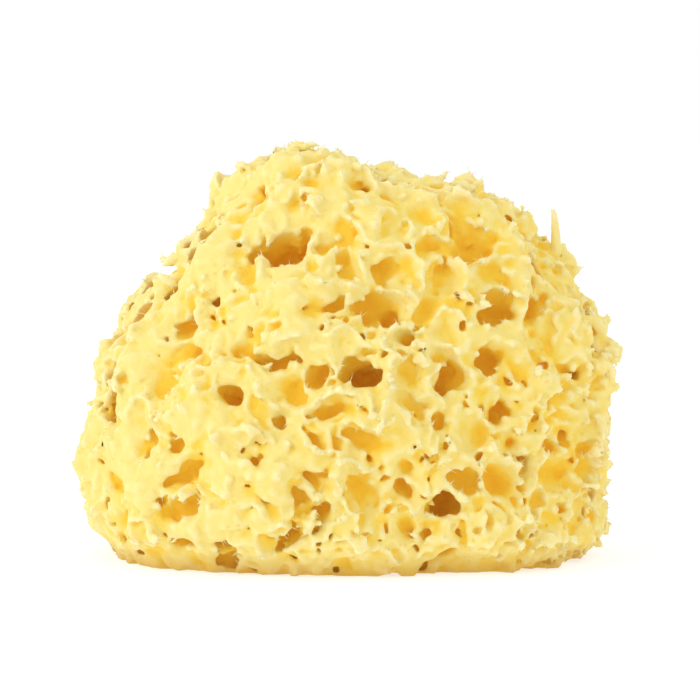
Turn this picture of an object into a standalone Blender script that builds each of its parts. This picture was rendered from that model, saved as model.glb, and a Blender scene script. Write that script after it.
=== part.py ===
"""A bath sponge: one grown piece, a lumpy dome cut off flat at the base.

The body is an icosphere whose points are pushed out to a dome given by its
widths at a few heights. The skin rises between the mouths of its pits. Each
pit is a wandering, egg-shaped well, and all of them are cut out together.
Lengths are in millimetres until the mesh is written, and +Y points backwards.
"""

import math

import bmesh
import bpy
import numpy as np
from mathutils import Matrix, Vector

MM = 0.001

# The dome at a few heights: height, left, right, front and back reach.
LEVELS = np.array(
    [
        (0.0, -59.0, 57.5, -45.0, 47.0),
        (8.0, -66.0, 65.5, -54.0, 55.0),
        (20.0, -67.5, 68.0, -57.5, 58.0),
        (36.0, -66.5, 68.0, -57.0, 58.0),
        (50.0, -65.0, 67.5, -55.0, 56.0),
        (62.0, -58.5, 65.5, -51.5, 52.5),
        (74.0, -48.0, 57.5, -47.0, 47.5),
        (86.0, -40.5, 48.5, -41.5, 41.0),
        (96.0, -32.0, 41.0, -35.0, 34.5),
        (110.0, -22.0, 33.0, -28.0, 28.0),
    ]
)
CORNER_POWER = 2.3
CROWN_TOP = 104.0
CROWN_AT = (3.0, 0.0)
CROWN_BEND = 0.0040
CROWN_ROUNDING = 9.0
KNOB_HEIGHT = 8.0
KNOB_AT = (-14.0, -4.0)
KNOB_RADIUS = 11.0
DIP_DEPTH = 4.5
DIP_AT = (29.0, 0.0)
DIP_RADIUS = 12.0
CORE = np.array([0.0, 0.0, 36.0])
BASE_SPARE = 1.0

# How the skin swells, and how it rises between one pit and the next, more on
# the rugged right side than on the smooth left.
LUMP_HEIGHT = 0.9
RIDGE_HEIGHT = 4.8
RIDGE_LEVEL = 0.5
RIDGE_RUN = 3.0
SMOOTH_SIDE = 0.65
RUGGED_FROM = -40.0
RUGGED_OVER = 50.0

# Pits on the front, as they show from EYE: across and up on the plane Y = 0,
# width, height, lean anticlockwise in degrees, and depth below the skin.
EYE = np.array([0.0, -1000.0, 123.0])
FRONT_PITS = (
    # The crown and the left shoulder.
    (-17.0, 80.5, 10.5, 8.0, 0, 15.0),
    (-13.0, 83.0, 4.5, 6.5, 0, 14.0),
    (-24.5, 79.0, 3.6, 5.5, 10, 10.0),
    (-3.5, 82.0, 10.0, 3.4, -5, 6.0),
    (-25.0, 93.0, 5.5, 4.5, 0, 3.5),
    (-32.0, 92.0, 4.5, 4.5, 0, 3.5),
    (-0.5, 76.0, 4.0, 6.5, 5, 4.5),
    (-35.0, 65.5, 3.6, 5.5, -20, 6.0),
    (-4.0, 66.5, 5.0, 3.6, 0, 5.5),
    (-42.5, 59.5, 9.0, 5.0, 0, 5.0),
    (-43.0, 53.5, 8.5, 3.6, 0, 4.5),
    (-28.0, 54.0, 5.0, 4.0, 0, 4.5),
    # The crown and the right shoulder.
    (7.5, 65.5, 12.0, 9.0, 0, 8.0),
    (12.0, 63.5, 4.0, 4.5, 0, 17.0),
    (16.5, 58.0, 4.0, 5.0, 15, 13.0),
    (23.5, 70.0, 14.5, 5.5, 52, 6.5),
    (39.0, 64.0, 9.5, 9.0, 0, 12.0),
    (34.0, 84.0, 10.5, 13.0, 10, 7.0),
    (29.5, 88.0, 3.4, 5.0, 0, 11.0),
    (18.0, 91.5, 6.5, 8.5, 25, 6.0),
    (23.5, 81.5, 4.5, 3.2, 0, 6.0),
    (13.0, 85.5, 5.5, 4.0, 0, 5.0),
    (11.0, 74.0, 8.5, 6.5, -30, 6.5),
    (42.0, 89.5, 4.0, 4.5, 0, 5.0),
    (50.0, 81.5, 4.5, 5.5, 0, 5.5),
    (39.5, 72.0, 7.5, 6.5, 0, 6.0),
    (50.5, 66.5, 13.0, 6.5, 50, 7.0),
    (54.0, 58.5, 7.5, 8.5, 0, 6.0),
    (26.5, 58.0, 5.0, 4.0, 0, 3.5),
    # The left flank.
    (-29.5, 42.0, 8.5, 4.0, -42, 12.0),
    (-8.0, 47.0, 6.0, 5.5, 0, 8.0),
    (-20.0, 50.5, 12.0, 3.4, -8, 4.5),
    (-48.5, 45.0, 5.5, 6.5, 0, 5.5),
    (-47.0, 29.5, 5.0, 4.5, 15, 6.0),
    (-52.5, 29.5, 3.4, 7.5, 0, 3.5),
    (-44.0, 20.0, 11.5, 5.0, 20, 5.5),
    (-13.0, 41.5, 5.5, 6.0, 0, 3.5),
    (-17.0, 34.5, 4.5, 3.4, 40, 5.0),
    (-44.5, 11.5, 9.5, 5.5, 0, 6.0),
    (-59.5, 7.5, 4.0, 7.0, -10, 3.5),
    (-61.5, 19.0, 4.5, 4.0, -35, 3.0),
    (-43.0, 1.0, 6.0, 5.0, 0, 7.0),
    (-32.0, 0.0, 6.5, 7.0, 10, 12.0),
    # The middle and the right flank.
    (3.0, 48.0, 9.5, 7.5, 0, 20.0),
    (-4.0, 37.5, 7.5, 4.0, 0, 7.0),
    (-8.0, 19.0, 3.6, 4.0, 0, 6.0),
    (-7.5, 10.5, 4.0, 5.5, 10, 10.0),
    (-13.0, 12.5, 4.5, 4.5, 0, 5.5),
    (-14.5, 2.5, 5.0, 7.0, -30, 9.0),
    (5.0, 14.0, 5.0, 9.0, 33, 6.0),
    (27.5, 45.5, 5.5, 8.5, -8, 14.0),
    (25.5, 51.0, 5.0, 4.0, 0, 6.0),
    (38.0, 50.5, 8.0, 8.0, 0, 11.0),
    (40.0, 36.5, 4.0, 4.5, 0, 11.0),
    (43.0, 39.0, 4.0, 4.0, 0, 10.0),
    (34.0, 31.0, 5.0, 7.0, 15, 6.0),
    (5.0, 29.0, 8.5, 3.6, 0, 4.5),
    (18.0, 39.0, 6.5, 3.4, -40, 5.0),
    (17.0, 46.0, 4.5, 5.5, 0, 3.5),
    (25.0, 33.5, 4.0, 4.0, 0, 5.0),
    (56.0, 27.5, 5.0, 4.0, 0, 9.0),
    (45.0, 29.0, 4.5, 3.4, 0, 5.0),
    (48.5, 24.0, 5.0, 3.6, 0, 9.0),
    (57.0, 21.0, 8.0, 8.5, 0, 6.0),
    (16.5, 21.0, 4.5, 3.6, 0, 5.0),
    (15.5, 15.5, 3.6, 4.5, -20, 9.0),
    (32.0, 17.5, 7.5, 6.0, 0, 9.0),
    (41.5, 18.0, 6.0, 7.5, 15, 9.0),
    (25.0, 10.5, 8.0, 7.5, 0, 18.0),
    (53.0, 13.5, 3.6, 4.0, 0, 8.0),
    (62.5, 10.5, 7.5, 5.5, 0, 5.0),
    (17.5, 4.0, 5.0, 4.5, 0, 4.5),
    (26.5, -2.0, 4.5, 4.0, 0, 7.0),
)

# The least depth of a front pit, in times its narrower width.
LEAST_DEPTH = 1.4

# Pits all round the rest of the dome, and in the cut underneath.
ROUND_PITS = 300
ROUND_RADIUS = (2.7, 5.4)
ROUND_DEPTH = (1.1, 3.0)
SEEN_FACE = 0.35
BASE_PITS = 45
BASE_SPREAD = (56.0, 44.0)
BASE_RADIUS = (2.6, 4.2)
BASE_KEPT_CLEAR = 6.0
WALL_BETWEEN = 0.9
SEED = 11

# Where an egg-shaped well has its centre and its lower half, as shares of its
# depth, and what its middle is wider by so that its mouth has the right width.
# The spare at each side makes up for the rounding of the rims.
EGG_CENTRE = 0.34
EGG_REACH = 1.0 - EGG_CENTRE
EGG_WIDER = 1.0 / math.sqrt(1.0 - (EGG_CENTRE / EGG_REACH) ** 2)
WELL_SPARE = 0.4
WANDER = 0.6

# The finished mesh.
ICOSPHERE_STEPS = 6
WELL_STEPS = 2
VOXEL = 0.95
KEPT_FACES = 0.0358
GROUND_SIZE = 220.0

SPONGE_YELLOW = (0.90, 0.66, 0.19, 1.0)
SPONGE_ROUGHNESS = 0.95


def clear_scene():
    for obj in list(bpy.data.objects):
        bpy.data.objects.remove(obj, do_unlink=True)


def reach(column, z):
    """One column of LEVELS at heights z, along a Catmull-Rom curve."""
    heights = LEVELS[:, 0]
    values = LEVELS[:, column]
    slopes = np.gradient(values, heights)
    z = np.clip(z, heights[0], heights[-1])
    i = np.clip(np.searchsorted(heights, z) - 1, 0, len(heights) - 2)
    span = heights[i + 1] - heights[i]
    t = (z - heights[i]) / span
    return (
        (2 * t**3 - 3 * t**2 + 1) * values[i]
        + (t**3 - 2 * t**2 + t) * span * slopes[i]
        + (3 * t**2 - 2 * t**3) * values[i + 1]
        + (t**3 - t**2) * span * slopes[i + 1]
    )


def lumps(p):
    """Slow swellings of the skin: a sum of three crossed waves."""
    x, y, z = p[..., 0], p[..., 1], p[..., 2]
    return LUMP_HEIGHT * (
        np.sin(x / 6.1 + 0.7) * np.sin(z / 7.3 + y / 11.0)
        + np.sin(y / 5.7 + 2.1) * np.sin(x / 8.9 - z / 12.0 + 1.3)
        + np.sin((x + y + z) / 9.7 + 0.4)
    )


def body(p):
    """How far points lie outside the dome (above 0) or inside it (below 0)."""
    x, y, z = p[..., 0], p[..., 1], p[..., 2]
    left, right, front, back = (reach(column, z) for column in (1, 2, 3, 4))
    u = x - (left + right) / 2
    v = y - (front + back) / 2
    share = (
        np.abs(2 * u / (right - left)) ** CORNER_POWER
        + np.abs(2 * v / (back - front)) ** CORNER_POWER
    ) ** (1 / CORNER_POWER)
    side = np.hypot(u, v) * (1 - 1 / np.maximum(share, 1e-6))
    bend = (x - CROWN_AT[0]) ** 2 + (y - CROWN_AT[1]) ** 2
    from_knob = (x - KNOB_AT[0]) ** 2 + (y - KNOB_AT[1]) ** 2
    knob = KNOB_HEIGHT * np.exp(-from_knob / KNOB_RADIUS**2)
    from_dip = (x - DIP_AT[0]) ** 2 + (y - DIP_AT[1]) ** 2
    dip = DIP_DEPTH * np.exp(-from_dip / DIP_RADIUS**2)
    crown = z - CROWN_TOP + CROWN_BEND * bend - knob + dip
    blend = np.clip(0.5 + 0.5 * (side - crown) / CROWN_ROUNDING, 0, 1)
    rounded = crown + (side - crown) * blend
    return rounded + CROWN_ROUNDING * blend * (1 - blend) - lumps(p)


def last_inside(start, step, near, far):
    """Where rays from start leave the dome, or meet the spare below its cut."""
    near = np.full(len(step), near)
    far = np.full(len(step), far)
    for _ in range(30):
        middle = (near + far) / 2
        places = start + step * middle[:, None]
        inside = (body(places) < 0) & (places[:, 2] > -BASE_SPARE)
        near = np.where(inside, middle, near)
        far = np.where(inside, far, middle)
    return start + step * near[:, None]


def seen_from_eye(across, up):
    """The point of the dome that shows from EYE at (across, up) on Y = 0."""
    target = np.array([across, 0.0, up])
    sight = (target - EYE) / np.linalg.norm(target - EYE)
    steps = np.linspace(900.0, 1100.0, 1601)
    line = EYE + sight * steps[:, None]
    inside = np.nonzero(body(line) < 0)[0]
    return line[inside[0]] if len(inside) else line[np.argmin(body(line))]


def outward(p):
    """The dome's outward direction at p, from differences 0.5 mm apart."""
    steps = np.eye(3) * 0.5
    slope = np.array([body(p + s) - body(p - s) for s in steps])
    return slope / np.linalg.norm(slope)


def front_pits():
    """Each front pit as its mouth, half width, half height, lean and depth."""
    found = []
    for across, up, width, height, lean, depth in FRONT_PITS:
        mouth = seen_from_eye(across, up)
        deep = max(depth, LEAST_DEPTH * min(width, height))
        found.append((mouth, width / 2, height / 2, lean, deep))
    return found


def faces_eye(mouth):
    """Whether the dome turns towards EYE here, where the front pits are."""
    sight = (EYE - mouth) / np.linalg.norm(EYE - mouth)
    return outward(mouth) @ sight > SEEN_FACE


def far_enough(mouth, radius, pits):
    """Whether a new mouth leaves a wall between itself and every other pit."""
    others = np.array([pit[0] for pit in pits])
    radii = np.array([(pit[1] + pit[2]) / 2 for pit in pits])
    gaps = np.linalg.norm(others - mouth, axis=1) - radii - radius
    return gaps.min() > WALL_BETWEEN


def round_pits(pits, rng):
    """Pits along a golden spiral over the dome, wherever there is room."""
    turn = math.pi * (3 - math.sqrt(5))
    order = np.arange(ROUND_PITS)
    rise = 1.0 - 1.45 * (order + 0.5) / ROUND_PITS
    ring = np.sqrt(1 - rise**2)
    angle = order * turn
    steps = np.column_stack([ring * np.cos(angle), ring * np.sin(angle), rise])
    steps += rng.normal(0.0, 0.05, steps.shape)
    mouths = last_inside(CORE, steps, 0.0, 130.0)
    for mouth in mouths:
        first = rng.uniform(*ROUND_RADIUS)
        second = first * rng.uniform(0.65, 1.0)
        lean = rng.uniform(0.0, 180.0)
        depth = first * rng.uniform(*ROUND_DEPTH)
        free = mouth[2] > -BASE_SPARE and not faces_eye(mouth)
        if free and far_enough(mouth, first, pits):
            pits.append((mouth, first, second, lean, depth))


def base_pits(pits, rng):
    """Pits that open in the flat cut, clear of the middle of the base."""
    for _ in range(BASE_PITS):
        angle = rng.uniform(0.0, 2 * math.pi)
        share = 0.88 * math.sqrt(rng.uniform(0.0, 1.0))
        across = BASE_SPREAD[0] * share * math.cos(angle)
        back = BASE_SPREAD[1] * share * math.sin(angle)
        mouth = np.array([across, back, 0.0])
        first = rng.uniform(*BASE_RADIUS)
        second = first * rng.uniform(0.7, 1.0)
        depth = first * rng.uniform(1.2, 2.4)
        clear = np.linalg.norm(mouth) - first > BASE_KEPT_CLEAR
        if clear and far_enough(mouth, first, pits):
            pits.append((mouth, first, second, math.degrees(angle), depth))


def wander(p):
    """A slow sideways drift of points, which makes round wells irregular."""
    x, y, z = p[..., 0], p[..., 1], p[..., 2]
    return WANDER * np.stack(
        [
            np.sin(y / 1.9 + 0.3) + np.sin(z / 2.7 + 1.1),
            np.sin(z / 2.1 + 2.0) + np.sin(x / 2.9 + 0.5),
            np.sin(x / 2.0 + 1.7) + np.sin(y / 2.6 + 2.6),
        ],
        axis=-1,
    )


def mesh_object(name, mesh):
    obj = bpy.data.objects.new(name, mesh)
    bpy.context.collection.objects.link(obj)
    return obj


def icosphere_points(steps):
    bm = bmesh.new()
    bmesh.ops.create_icosphere(bm, subdivisions=steps, radius=1.0)
    return bm, np.array([v.co for v in bm.verts])


def mesh_from(bm, points, name):
    """The bmesh with its points moved to these places, and its faces outwards."""
    for vertex, place in zip(bm.verts, points * MM):
        vertex.co = place
    bmesh.ops.recalc_face_normals(bm, faces=bm.faces)
    mesh = bpy.data.meshes.new(name)
    bm.to_mesh(mesh)
    bm.free()
    return mesh


def make_dome(pits):
    """The skin with no pits cut yet: high between mouths, low beside them."""
    bm, directions = icosphere_points(ICOSPHERE_STEPS)
    skin = last_inside(CORE, directions, 0.0, 130.0)
    mouths = np.array([pit[0] for pit in pits])
    radii = np.array([(pit[1] + pit[2]) / 2 for pit in pits])
    away = np.linalg.norm(skin[:, None] - mouths[None], axis=2) - radii
    nearest = np.maximum(away.min(axis=1), 0)
    to_right = np.clip((skin[:, 0] - RUGGED_FROM) / RUGGED_OVER, 0, 1)
    rugged = SMOOTH_SIDE + (1 - SMOOTH_SIDE) * to_right
    rise = rugged * RIDGE_HEIGHT * (RIDGE_LEVEL - np.exp(-nearest / RIDGE_RUN))
    return mesh_object("sponge", mesh_from(bm, skin + directions * rise[:, None], "dome"))


def make_well(mouth, first, second, lean, depth, inward):
    """One egg-shaped well: first by second across at the mouth, and this deep."""
    bm, unit = icosphere_points(WELL_STEPS)
    sideways = np.cross(inward, (0.0, 0.0, 1.0))
    if np.linalg.norm(sideways) < 0.2:
        sideways = np.array([1.0, 0.0, 0.0])
    turn = Matrix.Rotation(math.radians(-lean), 3, Vector(inward))
    across = np.array(turn @ Vector(sideways / np.linalg.norm(sideways)))
    along = np.cross(across, inward)
    centre = mouth + inward * depth * EGG_CENTRE
    points = (
        centre
        + unit[:, :1] * across * (first + WELL_SPARE) * EGG_WIDER
        + unit[:, 1:2] * along * (second + WELL_SPARE) * EGG_WIDER
        + unit[:, 2:] * inward * depth * EGG_REACH
    )
    return mesh_from(bm, points + wander(points), "well")


def make_wells(pits):
    """All wells in one hidden mesh, used only to cut the sponge."""
    joined = bmesh.new()
    for mouth, first, second, lean, depth in pits:
        on_base = mouth[2] <= 0.0 and abs(body(mouth)) > 3.0
        inward = np.array([0.0, 0.0, 1.0]) if on_base else -outward(mouth)
        joined.from_mesh(make_well(mouth, first, second, lean, depth, inward))
    mesh = bpy.data.meshes.new("wells")
    joined.to_mesh(mesh)
    joined.free()
    return helper(mesh_object("wells", mesh))


def helper(obj):
    obj.hide_render = True
    obj.display_type = "WIRE"
    return obj


def make_ground():
    """A block under Z = 0, which trims the sponge to its flat cut."""
    bm = bmesh.new()
    lower = Matrix.Translation((0.0, 0.0, -GROUND_SIZE * MM / 2))
    bmesh.ops.create_cube(bm, size=GROUND_SIZE * MM, matrix=lower)
    mesh = bpy.data.meshes.new("ground")
    bm.to_mesh(mesh)
    bm.free()
    return helper(mesh_object("ground", mesh))


def cut(obj, tool, overlapping=False):
    modifier = obj.modifiers.new("cut " + tool.name, "BOOLEAN")
    modifier.operation = "DIFFERENCE"
    modifier.object = tool
    modifier.use_self = overlapping


def settle(obj):
    """Replaces the object's mesh by the one that its modifiers make."""
    graph = bpy.context.evaluated_depsgraph_get()
    obj.data = bpy.data.meshes.new_from_object(obj.evaluated_get(graph))
    obj.modifiers.clear()


def keep_largest_piece(obj):
    """Drops crumbs that the wells have cut free, and closed inner bubbles."""
    bm = bmesh.new()
    bm.from_mesh(obj.data)
    unseen = set(bm.verts)
    pieces = []
    while unseen:
        front = [unseen.pop()]
        piece = list(front)
        while front:
            vertex = front.pop()
            for edge in vertex.link_edges:
                other = edge.other_vert(vertex)
                if other in unseen:
                    unseen.remove(other)
                    front.append(other)
                    piece.append(other)
        pieces.append(piece)
    pieces.sort(key=len)
    crumbs = [vertex for piece in pieces[:-1] for vertex in piece]
    bmesh.ops.delete(bm, geom=crumbs, context="VERTS")
    bm.to_mesh(obj.data)
    bm.free()


def sponge_material():
    material = bpy.data.materials.new("spongin")
    material.use_nodes = True
    shader = material.node_tree.nodes["Principled BSDF"]
    shader.inputs["Base Color"].default_value = SPONGE_YELLOW
    shader.inputs["Roughness"].default_value = SPONGE_ROUGHNESS
    shader.inputs["Metallic"].default_value = 0.0
    return material


def main():
    clear_scene()
    rng = np.random.default_rng(SEED)
    pits = front_pits()
    round_pits(pits, rng)
    base_pits(pits, rng)

    sponge = make_dome(pits)
    cut(sponge, make_wells(pits), overlapping=True)
    remesh = sponge.modifiers.new("even skin", "REMESH")
    remesh.mode = "VOXEL"
    remesh.voxel_size = VOXEL * MM
    settle(sponge)
    keep_largest_piece(sponge)

    fewer = sponge.modifiers.new("fewer faces", "DECIMATE")
    fewer.ratio = KEPT_FACES
    cut(sponge, make_ground())
    settle(sponge)
    keep_largest_piece(sponge)
    sponge.data.shade_smooth()
    sponge.data.materials.clear()
    sponge.data.materials.append(sponge_material())


main()
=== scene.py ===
# %% [markdown]
# A honeycomb bath sponge, cut off flat at the base so that it stands.
#
# A bath sponge is the skeleton of an animal. It is one piece of springy protein
# called spongin, full of canals: wide ones that the animal breathed out of, and
# small ones that it breathed in by. Cleaned and bleached, it is pale yellow where
# light reaches it and amber where light has been through a lot of fibre.
#
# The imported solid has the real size, the dome and the larger pits. This script
# keeps those and grows the fine surface round them: thin crests between the
# pits, small pits, pores, ragged points, and single fibres at the edges.

# %% The frame
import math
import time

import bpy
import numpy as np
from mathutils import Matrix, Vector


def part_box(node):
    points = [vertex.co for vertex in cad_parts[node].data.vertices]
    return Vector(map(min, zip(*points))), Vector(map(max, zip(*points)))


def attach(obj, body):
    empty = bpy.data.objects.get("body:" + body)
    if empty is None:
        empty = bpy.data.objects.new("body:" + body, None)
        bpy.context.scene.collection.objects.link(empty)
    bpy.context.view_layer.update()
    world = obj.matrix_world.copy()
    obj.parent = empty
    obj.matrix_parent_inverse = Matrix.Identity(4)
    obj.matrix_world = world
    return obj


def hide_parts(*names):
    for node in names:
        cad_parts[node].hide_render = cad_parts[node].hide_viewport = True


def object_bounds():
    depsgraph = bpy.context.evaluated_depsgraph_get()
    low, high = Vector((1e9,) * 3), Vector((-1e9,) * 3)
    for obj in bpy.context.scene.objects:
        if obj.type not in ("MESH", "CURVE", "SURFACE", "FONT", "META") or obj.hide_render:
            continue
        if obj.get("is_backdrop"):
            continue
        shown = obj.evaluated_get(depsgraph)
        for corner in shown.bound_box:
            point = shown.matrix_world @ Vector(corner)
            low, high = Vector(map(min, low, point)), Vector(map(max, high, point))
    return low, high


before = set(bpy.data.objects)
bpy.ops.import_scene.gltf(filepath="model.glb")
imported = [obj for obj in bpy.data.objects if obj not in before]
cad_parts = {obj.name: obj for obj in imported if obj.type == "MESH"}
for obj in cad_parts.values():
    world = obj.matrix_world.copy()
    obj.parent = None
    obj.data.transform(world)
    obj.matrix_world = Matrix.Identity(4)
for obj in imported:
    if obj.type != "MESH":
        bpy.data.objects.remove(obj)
cad_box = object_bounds()

# %% [markdown]
# Everything is worked out in millimetres, because that is the size of what shows
# on a sponge, and turned to metres when a mesh is made. Each step prints what it
# made and the seconds so far. Each step also draws its random numbers from a seed
# of its own, so that a change in one step leaves the others as they are.

MM = 0.001
STARTED = time.perf_counter()
SEEDS = {
    "pits": 11,
    "drift": 23,
    "comb": 71,
    "skin": 31,
    "pores": 47,
    "teeth": 59,
    "colour": 83,
    "fibres": 59,
}


def told(words):
    """Prints a line with the seconds that have passed."""
    print(f"{time.perf_counter() - STARTED:6.1f} s  {words}", flush=True)


def random_for(step):
    """The random numbers of one step."""
    return np.random.default_rng(SEEDS[step])


low, high = (np.array(corner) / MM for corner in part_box("sponge"))
told(f"the solid spans {np.round(high - low, 1)} mm")

# %% [markdown]
# The form of the sponge first, as a function of space and not as a mesh. At each
# point the function says how many millimetres the point lies outside the dome.
# Such a form is easy to add to: a pit is one more function, and the surface is
# wherever the sum is zero. It also allows tunnels and overhanging lips, which a
# grid of two parameters can't have, and a sponge is made of those.

# %% The dome
# Height, then the reach to the left, right, front and back, in mm.
LEVELS = np.array(
    [
        (0.0, -59.0, 57.5, -45.0, 47.0),
        (8.0, -66.0, 65.5, -54.0, 55.0),
        (20.0, -67.5, 68.0, -57.5, 58.0),
        (36.0, -66.5, 68.0, -57.0, 58.0),
        (50.0, -65.0, 67.5, -55.0, 56.0),
        (62.0, -58.5, 65.5, -51.5, 52.5),
        (74.0, -48.0, 57.5, -47.0, 47.5),
        (86.0, -40.5, 48.5, -41.5, 41.0),
        (96.0, -32.0, 41.0, -35.0, 34.5),
        (110.0, -22.0, 33.0, -28.0, 28.0),
    ]
)
CORNER_POWER = 2.3
CROWN_TOP = 104.0
CROWN_AT = (3.0, 0.0)
CROWN_BEND = 0.0040
CROWN_ROUNDING = 9.0
KNOB_HEIGHT = 8.0
KNOB_AT = (-14.0, -4.0)
KNOB_RADIUS = 11.0
DIP_DEPTH = 4.5
DIP_AT = (29.0, 0.0)
DIP_RADIUS = 12.0
LUMP_HEIGHT = 0.9


def reach(column, z):
    """One column of LEVELS at heights z, along a smooth cubic through its rows."""
    heights, values = LEVELS[:, 0], LEVELS[:, column]
    slopes = np.gradient(values, heights)
    z = np.clip(z, heights[0], heights[-1])
    i = np.clip(np.searchsorted(heights, z) - 1, 0, len(heights) - 2)
    span = heights[i + 1] - heights[i]
    t = (z - heights[i]) / span
    return (
        (2 * t**3 - 3 * t**2 + 1) * values[i]
        + (t**3 - 2 * t**2 + t) * span * slopes[i]
        + (3 * t**2 - 2 * t**3) * values[i + 1]
        + (t**3 - t**2) * span * slopes[i + 1]
    )


def lumps(x, y, z):
    """Slow swellings of the skin: three crossed waves, added up. Their lengths have
    no common measure, so that no pattern repeats."""
    return LUMP_HEIGHT * (
        np.sin(x / 6.1 + 0.7) * np.sin(z / 7.3 + y / 11.0)
        + np.sin(y / 5.7 + 2.1) * np.sin(x / 8.9 - z / 12.0 + 1.3)
        + np.sin((x + y + z) / 9.7 + 0.4)
    )


def body(x, y, z):
    """How far a point is outside the dome: the radius less the radius of a rounded
    box of the four reaches, blended with a crown that falls off as a parabola and
    has a bell-shaped knob and a dip."""
    left, right, front, back = (reach(column, z) for column in (1, 2, 3, 4))
    u = x - (left + right) / 2
    v = y - (front + back) / 2
    share = (
        np.abs(2 * u / (right - left)) ** CORNER_POWER
        + np.abs(2 * v / (back - front)) ** CORNER_POWER
    ) ** (1 / CORNER_POWER)
    side = np.hypot(u, v) * (1 - 1 / np.maximum(share, 1e-6))
    bend = (x - CROWN_AT[0]) ** 2 + (y - CROWN_AT[1]) ** 2
    from_knob = (x - KNOB_AT[0]) ** 2 + (y - KNOB_AT[1]) ** 2
    knob = KNOB_HEIGHT * np.exp(-from_knob / KNOB_RADIUS**2)
    from_dip = (x - DIP_AT[0]) ** 2 + (y - DIP_AT[1]) ** 2
    dip = DIP_DEPTH * np.exp(-from_dip / DIP_RADIUS**2)
    crown = z - CROWN_TOP + CROWN_BEND * bend - knob + dip
    blend = np.clip(0.5 + 0.5 * (side - crown) / CROWN_ROUNDING, 0, 1)
    rounded = crown + (side - crown) * blend
    return rounded + CROWN_ROUNDING * blend * (1 - blend) - lumps(x, y, z)


def body_at(p):
    """The same for an array of points."""
    return body(p[..., 0], p[..., 1], p[..., 2])


def outward(p):
    """The dome's outward directions at points p: how fast its function grows along
    each axis, from points half a millimetre to either side."""
    slope = np.stack([body_at(p + s) - body_at(p - s) for s in np.eye(3) * 0.5], axis=-1)
    return slope / np.linalg.norm(slope, axis=-1, keepdims=True)


told(f"the dome is {reach(2, 20.0) - reach(1, 20.0):.1f} mm wide at 20 mm up")

# %% [markdown]
# The large pits are the mouths of the canals that the animal breathed out of.
# Those on the front are placed one by one, as they show from the eye: across and
# up on the plane Y = 0, width, height, lean and depth, in mm and degrees. The
# sight line through each one is followed to where it meets the dome.

# %% The pits on the front
EYE_AWAY = 1000.0
EYE = np.array([0.0, -EYE_AWAY, 123.0])
SIGHT_DISTANCES = np.linspace(900.0, 1100.0, 1601)
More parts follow.
